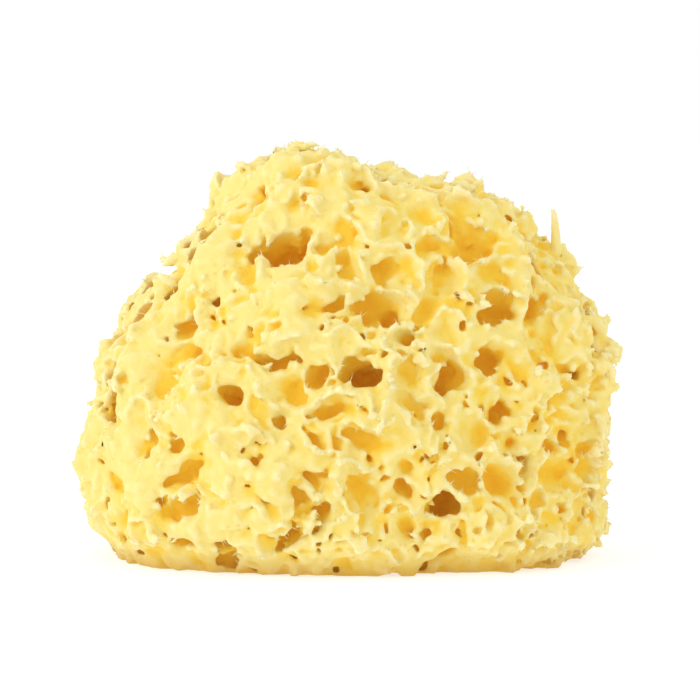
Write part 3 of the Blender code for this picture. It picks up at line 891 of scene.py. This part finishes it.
def mean_within(values, reach):
    """The mean over a box of this half width (mm) about each lattice point: the
    difference of two running sums, along each axis in turn."""
    half = max(int(round(reach / STEP)), 1)
    for axis in range(3):
        values = np.moveaxis(values, axis, 0)
        padded = np.concatenate([values[:1]] * (half + 1) + [values] + [values[-1:]] * half)
        sums = np.cumsum(padded, axis=0, dtype=np.float64)
        values = ((sums[2 * half + 1 :] - sums[: -2 * half - 1]) / (2 * half + 1)).astype(np.float32)
        values = np.moveaxis(values, 0, axis)
    return values


def fibre_within(reach):
    """How much of the space near each lattice point is fibre. Below the cut a part
    counts as fibre, so that the rim of the base isn't a crest."""
    fibre = (form < 0).astype(np.float32)
    fibre[:, :, Z[0, 0] < 0] = 0.5
    return mean_within(mean_within(fibre, reach / 2), reach / 2)


# %% [markdown]
# Where the crests are torn, small three-cornered teeth stand on them, 1 to 3 mm
# long. They grow out of the form itself, so that they have broad, soft roots.
# A crest is where little of the space around is fibre, and a tooth points the
# way in which that little gets less. A few long ones are listed one by one: the
# finger on the right shoulder, the flap over a pit near the middle, and some
# that stick out of the outline.

# %% Teeth
TEETH = 1700
TOOTH_LENGTH = (0.9, 2.5)
TOOTH_RADIUS = (0.5, 0.9)
TOOTH_SPREAD = 0.35
TOOTH_BEND = 0.3
TOOTH_SUNK = 0.5
TOOTH_POINT = 0.8
LONG_POINT = 0.25
TOOTH_BLEND = 0.6
TEETH_BETWEEN = (2.0, 110.0)
CREST_BELOW = 0.36
CREST_SEEN_WITHIN = 2.0
STEPS_ASIDE = 2
# Across and up as seen from the eye, then the way, the bend, length and radius.
# The first is the finger, and the second is the flap.
LONG_TEETH = (
    (54.3, 79.5, (0.0, 0.0, 1.0), (-0.08, 0.0, 0.0), 10.5, 1.35),
    (3.6, 62.8, (0.9, -0.5, 0.6), (0.3, 0.0, -0.8), 6.0, 1.0),
    (-44.0, 77.5, (-1.0, 0.0, -0.45), (-0.2, 0.0, -0.2), 5.5, 1.4),
    (-46.0, 71.0, (-0.9, 0.0, 0.5), (-0.1, 0.0, 0.2), 4.0, 1.2),
    (-11.0, 106.0, (0.8, 0.0, 0.7), (0.4, 0.0, -0.9), 4.5, 1.0),
    (58.0, 73.0, (0.9, 0.0, 0.4), (0.1, 0.0, 0.3), 4.0, 1.1),
    (64.5, 44.0, (1.0, 0.0, 0.1), (0.1, 0.0, -0.3), 3.0, 1.0),
    (65.5, 31.0, (1.0, 0.0, 0.3), (0.1, 0.0, 0.3), 3.0, 1.0),
)


def grow_tooth(root, way, bend, length, radius, point):
    """Adds one tooth to the form, blended with it. Along it s runs from 0 at the
    root to 1 at the tip. Its axis is way times s, plus bend times s squared, both
    times length, and its radius falls as 1 less s to the power of point."""
    box = box_round(root + (way + bend / 2) * length / 2, length * 0.75 + radius + 1.0)
    dx, dy, dz = (AXES[i][box[i]] - root[i] for i in range(3))
    dx, dy, dz = dx[:, None, None], dy[None, :, None], dz[None, None, :]
    along = dx * way[0] + dy * way[1] + dz * way[2]
    s = np.clip(along / length, 0, 1)
    off = np.sqrt(
        (dx - way[0] * along - bend[0] * length * s**2) ** 2
        + (dy - way[1] * along - bend[1] * length * s**2) ** 2
        + (dz - way[2] * along - bend[2] * length * s**2) ** 2
    )
    past = np.maximum(along - length, 0) + np.maximum(-along - radius, 0)
    tooth = off - radius * (1 - s) ** point + past
    form[box] = -smooth_max(-form[box], -tooth, TOOTH_BLEND)


def unit(vectors):
    """Vectors with the same directions and length 1."""
    return vectors / np.linalg.norm(vectors, axis=-1, keepdims=True)


biting = random_for("teeth")
near_fibre = fibre_within(CREST_SEEN_WITHIN)
on_crest = (np.abs(form) < STEP / 2) & (near_fibre < CREST_BELOW)
on_crest &= (Z > TEETH_BETWEEN[0]) & (Z < TEETH_BETWEEN[1])
roots = skin_places(TEETH, biting, on_crest)
at = np.rint((roots - corner) / STEP).astype(int)
less = [
    near_fibre[tuple((at - aside).T)] - near_fibre[tuple((at + aside).T)]
    for aside in STEPS_ASIDE * np.eye(3, dtype=int)
]
ways = unit(unit(np.stack(less, axis=1) + 1e-6) + TOOTH_SPREAD * biting.normal(size=roots.shape))
bends = TOOTH_BEND * biting.normal(size=roots.shape)
lengths = biting.uniform(*TOOTH_LENGTH, TEETH)
radii = biting.uniform(*TOOTH_RADIUS, TEETH)
for root, way, bend, length, radius in zip(roots, ways, bends, lengths, radii):
    grow_tooth(root - TOOTH_SUNK * way, way, bend, length, radius, TOOTH_POINT)
for across, up, way, bend, length, radius in LONG_TEETH:
    root = seen_from_eye(across, up)
    grow_tooth(root, unit(np.array(way)), np.array(bend), length, radius, LONG_POINT)
del near_fibre, on_crest
form = np.maximum(form, -Z).astype(np.float32)
told(f"{TEETH} teeth, and {len(LONG_TEETH)} long ones")

# %% [markdown]
# Now the surface is drawn out of the lattice with the method called surface
# nets. Every small cube of the lattice that the surface passes through gets one
# vertex, at the mean of the places where its edges are crossed, and every
# crossed edge gets one quad, between the four cubes round it.

# %% From form to mesh
def surface_of(values):
    """Vertices (mm) and quads of the surface where the values are zero."""
    inside = values < 0
    count = np.zeros(np.array(values.shape) - 1, np.uint8)
    offsets = np.array([(i, j, k) for i in (0, 1) for j in (0, 1) for k in (0, 1)])
    n = count.shape
    for i, j, k in offsets:
        count += inside[i : i + n[0], j : j + n[1], k : k + n[2]]
    mixed = (count > 0) & (count < 8)
    cells = np.argwhere(mixed)
    number = np.full(n, -1, np.int32)
    number[mixed] = np.arange(len(cells), dtype=np.int32)
    at = [values[tuple((cells + o).T)] for o in offsets]
    total = np.zeros((len(cells), 3), np.float32)
    crossings = np.zeros(len(cells), np.float32)
    for a in range(8):
        for b in range(a + 1, 8):
            if np.abs(offsets[a] - offsets[b]).sum() != 1:
                continue
            cross = (at[a] < 0) != (at[b] < 0)
            share = np.where(cross, at[a] / np.where(cross, at[a] - at[b], 1), 0)
            place = offsets[a] + share[:, None] * (offsets[b] - offsets[a])
            total += place * cross[:, None]
            crossings += cross
    points = (cells + total / crossings[:, None]) * STEP + corner
    quads = []
    for axis in range(3):
        u, v = (axis + 1) % 3, (axis + 2) % 3
        here = [slice(1, -1)] * 3
        here[axis] = slice(0, -1)
        there = list(here)
        there[axis] = slice(1, None)
        first, last = inside[tuple(here)], inside[tuple(there)]
        crossed = np.argwhere(first != last)
        outwards = first[tuple(crossed.T)]
        edge = crossed + [0 if i == axis else 1 for i in range(3)]
        back_u, back_v = np.eye(3, dtype=int)[u], np.eye(3, dtype=int)[v]
        ring = [edge, edge - back_u, edge - back_u - back_v, edge - back_v]
        ring = np.stack([number[tuple(r.T)] for r in ring], axis=1)
        quads.append(np.where(outwards[:, None], ring, ring[:, ::-1]))
    return points, np.concatenate(quads)


points, quads = surface_of(form)
told(f"{len(points)} vertices and {len(quads)} quads")


# %% [markdown]
# Carving leaves crumbs that hang in the air, and a sponge has none. So only the
# piece with the most vertices is kept. Blender can part a mesh by loose parts as
# well, but that makes an object of every crumb.

# %% The largest piece alone
def largest_piece(points, quads):
    """Keeps the vertices that hang together most: each vertex takes the lowest
    number among its neighbours, over and over, until none changes."""
    ends = np.concatenate([quads[:, [0, 1]], quads[:, [1, 2]], quads[:, [2, 3]], quads[:, [3, 0]]])
    label = np.arange(len(points))
    while True:
        lowest = np.minimum(label[ends[:, 0]], label[ends[:, 1]])
        new = label.copy()
        np.minimum.at(new, label[ends[:, 0]], lowest)
        np.minimum.at(new, label[ends[:, 1]], lowest)
        new = new[new]
        new = new[new]
        if (new == label).all():
            break
        label = new
    keep = label == np.bincount(label).argmax()
    renumber = np.cumsum(keep) - 1
    return points[keep], renumber[quads[keep[quads[:, 0]]]]


points, quads = largest_piece(points, quads)
told(f"{len(points)} vertices are one piece")


# %% [markdown]
# Two helpers for meshes. The arrays go into a mesh in one call each, which is
# far quicker than adding vertices one by one. Modifiers are applied at once, so
# that what follows works on the mesh they make.

# %% From arrays to objects
def mesh_of(name, points, faces):
    """A mesh object from vertices in mm and faces that all have as many corners."""
    mesh = bpy.data.meshes.new(name)
    corners = faces.shape[1]
    mesh.vertices.add(len(points))
    mesh.vertices.foreach_set("co", (points * MM).astype(np.float32).ravel())
    mesh.loops.add(faces.size)
    mesh.loops.foreach_set("vertex_index", faces.astype(np.int32).ravel())
    mesh.polygons.add(len(faces))
    starts = np.arange(0, faces.size, corners, dtype=np.int32)
    mesh.polygons.foreach_set("loop_start", starts)
    mesh.update(calc_edges=True)
    mesh.shade_smooth()
    obj = bpy.data.objects.new(name, mesh)
    bpy.context.scene.collection.objects.link(obj)
    return obj


def settle(obj):
    """Replaces the object's mesh by the one that its modifiers make."""
    graph = bpy.context.evaluated_depsgraph_get()
    old = obj.data
    obj.data = bpy.data.meshes.new_from_object(obj.evaluated_get(graph))
    obj.modifiers.clear()
    bpy.data.meshes.remove(old)


# %% [markdown]
# The lattice gives 1.5 million triangles, all of one size. Most are given up
# again, in two passes: first away from the front, then on the front, where a
# finer mesh is kept. What the first pass may not touch is left out of its
# vertex group, and so is what the second may not touch.

# %% Fewer triangles
MOST_TRIANGLES = 198_000
FRONT_SHARE = 0.62
FRONT_FACE = 0.1
FRONT_ABOVE = 0.5
SHARP_FROM = 75


def at_vertices(obj, name):
    """A vector for each vertex of an object: "co", its place (m), or "normal"."""
    vectors = np.empty(len(obj.data.vertices) * 3, np.float32)
    obj.data.vertices.foreach_get(name, vectors)
    return vectors.reshape(-1, 3).astype(float)


def on_front(p):
    """Whether points (mm) are on the side that faces the eye, above the cut."""
    sight = (EYE - p) / np.linalg.norm(EYE - p, axis=1, keepdims=True)
    return ((outward(p) * sight).sum(axis=1) > FRONT_FACE) & (p[:, 2] > FRONT_ABOVE)


def triangles_of(obj):
    """How many triangles an object's faces come to."""
    return len(obj.data.loops) - 2 * len(obj.data.polygons)


def thin_out(obj, here, kept):
    """Decimates the vertices of the mask so that about this many triangles are
    left in the object."""
    group = obj.vertex_groups.new(name="thinned")
    group.add(np.flatnonzero(here).tolist(), 1.0, "REPLACE")
    fewer = obj.modifiers.new("fewer faces", "DECIMATE")
    fewer.vertex_group = group.name
    fewer.ratio = min(1.0, kept / triangles_of(obj))
    settle(obj)
    obj.data.validate()
    obj.vertex_groups.clear()


sponge = mesh_of("sponge_body", points, quads)
front = on_front(at_vertices(sponge, "co") / MM)
at_front = front.mean() * triangles_of(sponge)
thin_out(sponge, ~front, at_front + (1 - FRONT_SHARE) * MOST_TRIANGLES)
told(f"{triangles_of(sponge)} triangles after the first pass")
thin_out(sponge, on_front(at_vertices(sponge, "co") / MM), MOST_TRIANGLES)
sponge.data.shade_smooth()
sponge.data.set_sharp_from_angle(angle=math.radians(SHARP_FROM))
told(f"{triangles_of(sponge)} triangles are kept")


# %% [markdown]
# What the eye reads as colour here is mostly light that has been inside the
# fibre, and shade, and the material paints both into the colour. It grows warmer
# and darker the more fibre stands round a place. So each vertex keeps numbers for
# the material. The painted shade and tone grows with the depth under the skin and
# with how much of the space within 6 mm is fibre; a little of it is the deeper
# fibre's own amber. Close is how much within 2 mm is fibre: half of it on a flat
# skin, less on a crest, and more in a hole. The left side is painted lighter and
# the right warmer, as the light falls from the left, and there is a slow mottle
# of the fibre's own tone. The crest light is a painted highlight on crests near
# the skin, and patch says where darker dots are painted, as shade in pores too
# fine to model.

# %% How shaded and how close
DEEPEST = 20.0
HIGHEST = 0.7
WIDE_REACH = 6.0
CLOSE_REACH = 2.0
FLAT_FIBRE = 0.5
HOLLOW_SHADE_SHARE = 0.9
HOLLOW_SHADE_MOST = 0.4
MOTTLE_SIZE = 1.8
MOTTLE_SHARE = 0.05
MOTTLE_MOST = 2
# The painted light from the left: over how many mm it grows, and how strong.
SIDE_LIGHT_OVER = 60.0
SIDE_LIGHT_SHARE = 0.11
# The painted highlight on crests: below what share of close fibre, over what range, and how near the
# skin.
CREST_LIGHT_BELOW = 0.46
CREST_LIGHT_OVER = 0.24
CREST_LIGHT_DEEPEST = 0.35
CREST_LIGHT_FADE = 0.2
PATCH_SIZE = 6.0
QUANTILES = (5, 25, 50, 75, 95)


def sample(values, p):
    """The lattice values at points p (mm), blended from the eight around each."""
    t = (p - corner) / STEP
    cell = np.clip(np.floor(t).astype(int), 0, np.array(values.shape) - 2)
    f = t - cell
    total = np.zeros(len(p))
    for i in (0, 1):
        for j in (0, 1):
            for k in (0, 1):
                weight = (
                    (f[:, 0] if i else 1 - f[:, 0])
                    * (f[:, 1] if j else 1 - f[:, 1])
                    * (f[:, 2] if k else 1 - f[:, 2])
                )
                total += weight * values[cell[:, 0] + i, cell[:, 1] + j, cell[:, 2] + k]
    return total


def store(obj, name, values):
    """Keeps one number for each vertex, as an attribute that a material reads."""
    attribute = obj.data.attributes.new(name, "FLOAT", "POINT")
    attribute.data.foreach_set("value", values.astype(np.float32))


colouring = random_for("colour")
places = at_vertices(sponge, "co") / MM
close = sample(fibre_within(CLOSE_REACH), places)
wide = sample(fibre_within(WIDE_REACH), places)
deep = np.sqrt(np.clip((HIGHEST - sample(hull, places)) / DEEPEST, 0, 1))
mottle = sample(noise(MOTTLE_SIZE, colouring), places)
mottle = MOTTLE_SHARE * np.clip(mottle, -MOTTLE_MOST, MOTTLE_MOST)
# Painted light: the left side paler and the right warmer, as the light falls from the left.
painted_side_light = SIDE_LIGHT_SHARE * np.clip(places[:, 0] / SIDE_LIGHT_OVER, -1, 1)
# Painted shade: depth under the skin and fibre all round warm and darken the colour, partly the
# deeper fibre's own amber; the mottle is the fibre's own tone.
shade_and_tone = deep + HOLLOW_SHADE_SHARE * np.clip(wide - FLAT_FIBRE, 0, HOLLOW_SHADE_MOST) + mottle + painted_side_light
# Painted highlight: crests near the skin are mixed towards a pale yellow, for light through thin
# fibre.
near_skin = np.clip((CREST_LIGHT_DEEPEST - deep) / CREST_LIGHT_FADE, 0, 1)
crest_light = np.clip((CREST_LIGHT_BELOW - close) / CREST_LIGHT_OVER, 0, 1) * near_skin
# Painted shade: patch says where darker dots stand for the shade in pores too fine to model.
patch = np.clip(sample(noise(PATCH_SIZE, colouring), places), 0, 1)
for name, values in (("shade_and_tone", shade_and_tone), ("crest_light", crest_light), ("close", close), ("patch", patch)):
    store(sponge, name, values)
    told(f"{name}: {np.round(np.percentile(values, QUANTILES), 2)}")

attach(sponge, "root")
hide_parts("sponge")

# %% [markdown]
# Single fibres stand free along the crests and blur their edges. Each is a thin
# horn, 0.6 to 1.6 mm long, that bends and narrows to its tip. They are a piece
# of their own, because they are thinner than a step of the lattice. More of them
# stand where less fibre is around, and fewer on the smoother left.

# %% Loose fibres
TUFTS = 3500
TUFTS_ABOVE = 2.0
TUFTS_DEEPEST = 0.25
TUFTS_LEFT_OF = -20
TUFTS_LEFT_SHARE = 0.7
TUFTS_BLUNTEST = 0.05
TUFT_LENGTH = (0.6, 1.6)
TUFT_RADIUS = (0.10, 0.20)
TUFT_SPREAD = 0.45
TUFT_BEND = 0.35
TUFT_POINT = 0.7
TUFT_ROOT = 0.3
# The tufts get more of the painted crest highlight.
TUFT_CREST_LIGHT = 0.5
TUFT_SIDES = 4
TUFT_LEVELS = (0.0, 0.5)


def horns(roots, ways, bends, lengths, radii):
    """Bent horns. Along each, s runs from 0 at the root to 1 at the tip. The axis is
    way times s plus bend times s squared, both times length. Rings stand on it,
    with a radius that falls as 1 less s to the power of TUFT_POINT, and the horn
    is closed by a point above and a lid below."""
    count = len(roots)
    side = unit(np.cross(ways, bends))
    other = np.cross(unit(ways), side)
    turn = np.arange(TUFT_SIDES) * 2 * math.pi / TUFT_SIDES
    levels = []
    for s in TUFT_LEVELS:
        axis = roots + ways * (lengths * s)[:, None] + bends * (lengths * s * s)[:, None]
        radius = (radii * (1 - s) ** TUFT_POINT)[:, None, None]
        ring = np.cos(turn)[None, :, None] * side[:, None]
        ring = ring + np.sin(turn)[None, :, None] * other[:, None]
        levels.append(axis[:, None] + radius * ring)
    tips = roots + (ways + bends) * lengths[:, None]
    points = np.concatenate(levels + [tips[:, None]], axis=1).reshape(-1, 3)
    faces = []
    last = len(TUFT_LEVELS) * TUFT_SIDES
    for i in range(TUFT_SIDES):
        j = (i + 1) % TUFT_SIDES
        for level in range(len(TUFT_LEVELS) - 1):
            a, b = level * TUFT_SIDES + i, level * TUFT_SIDES + j
            faces += [(a, b, b + TUFT_SIDES), (a, b + TUFT_SIDES, a + TUFT_SIDES)]
        faces.append((last - TUFT_SIDES + i, last - TUFT_SIDES + j, last))
    faces += [(0, i + 1, i) for i in range(1, TUFT_SIDES - 1)]
    faces = np.array(faces)[None] + (np.arange(count) * (last + 1))[:, None, None]
    return points, faces.reshape(-1, 3)


tufting = random_for("fibres")
normals = at_vertices(sponge, "normal")
high_up = (places[:, 2] > TUFTS_ABOVE) & (deep < TUFTS_DEEPEST)
crests = np.flatnonzero((close < CREST_BELOW) & high_up)
share = np.where(places[crests, 0] > TUFTS_LEFT_OF, 1.0, TUFTS_LEFT_SHARE)
share = share * (CREST_BELOW + TUFTS_BLUNTEST - close[crests])
picked = tufting.choice(crests, min(TUFTS, len(crests)), replace=False, p=share / share.sum())
lengths = tufting.uniform(*TUFT_LENGTH, len(picked))
radii = tufting.uniform(*TUFT_RADIUS, len(picked))
ways = unit(normals[picked] + TUFT_SPREAD * tufting.normal(size=(len(picked), 3)))
bends = TUFT_BEND * tufting.normal(size=ways.shape)
roots = places[picked] - TUFT_ROOT * normals[picked]
tufts = mesh_of("sponge_tufts", *horns(roots, ways, bends, lengths, radii))
corners_each = len(TUFT_LEVELS) * TUFT_SIDES + 1
# The tufts carry the same numbers, with more painted crest highlight, so that their shaded sides
# stay pale.
for name, values in (("shade_and_tone", shade_and_tone), ("crest_light", crest_light + TUFT_CREST_LIGHT), ("close", close)):
    store(tufts, name, np.repeat(values[picked], corners_each))
told(f"{len(picked)} tufts, {triangles_of(tufts)} triangles")

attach(tufts, "root")
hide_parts("sponge")

# %% [markdown]
# Spongin is dull and lets some light through. On the real thing the crests are
# cream, the valleys yellow and the hollows amber, since light that comes back
# from a hollow has gone through more fibre. Here that light and shade is painted
# into the colour, which follows the numbers kept at the vertices rather than the
# height or a random pattern: painted shade in the hollows, pores and foot, a
# painted highlight on the crests, and a painted glow. A fine grain is added as
# bump, because fibres that fine would take millions of triangles. It is drawn
# 0.9 mm wide, coarser than real fibre, so that it shows. The index of refraction
# stays at 1.5, which is near that of horn, and light goes 0.8 mm into the
# surface, about two fibres deep.

# %% Materials
GRAIN_SCALE = 1 / (0.9 * MM)
PORE_SHADE_SCALE = 1 / (2.2 * MM)
# The colours of more and more painted shade and tone, from the open skin to the
# deepest pits.
SHADE_AND_TONE_COLOURS = (
    (0.04, "#EEDB85"),
    (0.18, "#EFD466"),
    (0.30, "#F1CD4C"),
    (0.46, "#F0C63E"),
    (0.70, "#EEBD33"),
    (1.00, "#E6A827"),
)
# The light that comes through the fibre, the closer it stands.
GLOW_COLOURS = ((0.30, "#262008"), (0.60, "#34290A"), (0.75, "#583E0C"), (0.95, "#744C0E"))
# The painted highlight on the crests.
CREST_LIGHT_COLOUR = "#F2E8B0"
# The painted shade in pores too fine to model.
PORE_SHADE_COLOUR = "#E2BA4C"
# The painted shade at the foot, where the sponge faces down to the card.
FOOT_SHADE_COLOUR = "#C4963F"


def linear(hex_colour):
    """An sRGB hex colour as the linear red, green, blue and alpha of a shader."""
    channels = [int(hex_colour[i : i + 2], 16) / 255 for i in (1, 3, 5)]
    return [c / 12.92 if c <= 0.04045 else ((c + 0.055) / 1.055) ** 2.4 for c in channels] + [1]


def material_of(name, **constants):
    """A material, its nodes and its shader, with constants on the shader's sockets."""
    material = bpy.data.materials.new(name)
    material.use_nodes = True
    shader = material.node_tree.nodes["Principled BSDF"]
    for socket, value in constants.items():
        shader.inputs[socket.replace("_", " ")].default_value = value
    return material, material.node_tree, shader


def node(tree, kind, links=None, **settings):
    """Adds a node. Settings name its properties or, with a capital, its sockets."""
    made = tree.nodes.new(kind)
    for name, value in settings.items():
        if hasattr(made, name):
            setattr(made, name, value)
        else:
            made.inputs[name.replace("_", " ")].default_value = value
    for name, socket in (links or {}).items():
        tree.links.new(socket, made.inputs[name])
    return made


def set_stops(made, stops):
    """Gives a colour ramp its stops, each a place and a hex colour."""
    elements = made.color_ramp.elements
    while len(elements) < len(stops):
        elements.new(0.5)
    for element, (place, colour) in zip(elements, stops):
        element.position = place
        element.color = linear(colour)


def spongin():
    """Spongin: the painted shade and tone picks the colour along a ramp, the painted
    crest light mixes the crests towards a pale yellow, patch lays darker dots in the
    skin as painted shade in pores too fine to model, and the foot, 6 mm high, is
    mixed towards brown as painted shade. Close sets a faint glow, for the light that
    comes through the fibre."""
    material, tree, shader = material_of(
        "spongin",
        Roughness=0.85,
        Specular_IOR_Level=0.2,
        Subsurface_Weight=0.4,
        Subsurface_Radius=(1.0, 0.6, 0.2),
        Subsurface_Scale=0.8 * MM,
        Emission_Strength=1.0,
    )
    shade_and_tone, crest_light, close, patch = (
        node(tree, "ShaderNodeAttribute", attribute_name=name).outputs["Fac"]
        for name in ("shade_and_tone", "crest_light", "close", "patch")
    )
    place = node(tree, "ShaderNodeTexCoord").outputs["Object"]
    # Darker dots where patch is high: painted shade in pores too fine to model.
    dots = node(tree, "ShaderNodeTexVoronoi", {"Vector": place}, Scale=PORE_SHADE_SCALE)
    fades = {"From_Min": 0.08, "From_Max": 0.34, "To_Min": 0.45, "To_Max": 0.0}
    pore_shade = node(tree, "ShaderNodeMapRange", {"Value": dots.outputs["Distance"]}, **fades)
    both = {0: pore_shade.outputs["Result"], 1: patch}
    pore_shades = node(tree, "ShaderNodeMath", both, operation="MULTIPLY")
    # Painted shade: the bottom 6 mm mixed towards brown.
    up = node(tree, "ShaderNodeSeparateXYZ", {"Vector": place}).outputs["Z"]
    fades = {"From_Min": 0.5 * MM, "From_Max": 6.0 * MM, "To_Min": 0.7, "To_Max": 0.0}
    foot = node(tree, "ShaderNodeMapRange", {"Value": up}, **fades)
    # The painted shade and tone picks the colour along a ramp.
    shade_ramp = node(tree, "ShaderNodeValToRGB", {"Fac": shade_and_tone})
    set_stops(shade_ramp, SHADE_AND_TONE_COLOURS)
    colour = shade_ramp.outputs["Color"]
    # In turn: the painted crest highlight, the painted shade of the pores and the painted shade of
    # the foot.
    for share, towards in (
        (crest_light, CREST_LIGHT_COLOUR),
        (pore_shades.outputs["Value"], PORE_SHADE_COLOUR),
        (foot.outputs["Result"], FOOT_SHADE_COLOUR),
    ):
        # Inputs 6 and 7 of this node are the two colours, and output 2 is the mix.
        mixed = node(tree, "ShaderNodeMix", {"Factor": share}, data_type="RGBA")
        tree.links.new(colour, mixed.inputs[6])
        mixed.inputs[7].default_value = linear(towards)
        colour = mixed.outputs[2]
    tree.links.new(colour, shader.inputs["Base Color"])
    glow = node(tree, "ShaderNodeValToRGB", {"Fac": close})
    set_stops(glow, GLOW_COLOURS)
    tree.links.new(glow.outputs["Color"], shader.inputs["Emission Color"])
    grain = node(tree, "ShaderNodeTexNoise", {"Vector": place}, Scale=GRAIN_SCALE, Detail=1.0)
    height = {"Height": grain.outputs["Fac"]}
    bump = node(tree, "ShaderNodeBump", height, Strength=0.5, Distance=0.4 * MM)
    tree.links.new(bump.outputs["Normal"], shader.inputs["Normal"])
    return material


skin_material = spongin()
for piece in (sponge, tufts):
    piece.data.materials.clear()
    piece.data.materials.append(skin_material)
told(f"{skin_material.name}: {len(skin_material.node_tree.nodes)} nodes")

# %% [markdown]
# The sponge stands on white card in a white room, under one large soft light
# high on the left. The room lights all sides evenly and keeps the shadows pale.
# The light gives each pit a bright and a dark side, and makes the left brighter
# than the right. The camera is a little above the sponge and a metre away.

# %% Floor, light and camera
FLOOR_HALF = 3000.0
KEY_AT = (-760, -480, 470)
KEY_AIM = (0, 0, 50)
KEY_SIZE = 500
KEY_WATTS = 1.9
FRAME_CENTRE = np.array([0.8, 0.0, 53.3])
FRAME_WIDTH = 182.0
SENSOR_WIDTH = 36.0

card = material_of(
    "white card",
    Base_Color=linear("#BCBCBC"),
    Roughness=0.9,
    Specular_IOR_Level=0.0,
    Emission_Color=linear("#FFFFFF"),
    Emission_Strength=0.62,
)[0]
edges = FLOOR_HALF * np.array([(-1, -1, 0), (1, -1, 0), (1, 1, 0), (-1, 1, 0)])
floor = mesh_of("floor", edges, np.array([[0, 1, 2, 3]]))
floor.data.materials.append(card)
floor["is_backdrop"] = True

world = bpy.data.worlds.new("white room")
bpy.context.scene.world = world
world.use_nodes = True
world.node_tree.nodes["Background"].inputs["Color"].default_value = (1, 1, 1, 1)
world.node_tree.nodes["Background"].inputs["Strength"].default_value = 1.0


def aim(name, data, place, target):
    """A light or camera at place that looks at target, both in mm, and how far
    apart the two are."""
    obj = bpy.data.objects.new(name, data)
    obj.location = Vector(place) * MM
    sight = Vector(target) - Vector(place)
    obj.rotation_euler = sight.to_track_quat("-Z", "Y").to_euler()
    bpy.context.scene.collection.objects.link(obj)
    return obj, sight.length


key = bpy.data.lights.new("key", "AREA")
key.size = KEY_SIZE * MM
key.energy = KEY_WATTS
aim("key", key, KEY_AT, KEY_AIM)

camera_data = bpy.data.cameras.new("camera")
camera, distance = aim("camera", camera_data, EYE, FRAME_CENTRE)
camera_data.sensor_width = SENSOR_WIDTH
camera_data.lens = SENSOR_WIDTH * distance / FRAME_WIDTH
bpy.context.scene.camera = camera
bpy.context.scene.view_settings.view_transform = "Standard"
told(f"the camera's lens is {camera_data.lens:.0f} mm, at {distance:.0f} mm")

# %% [markdown]
# Last, the box of everything that was made is measured next to the solid's box.
# The two should differ by a few millimetres only.

# %% Sizes and the end
visual_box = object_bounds()
grown = (np.array(visual_box) - np.array(cad_box)) / MM
told(f"the visual box differs by {np.round(grown, 1)} mm")
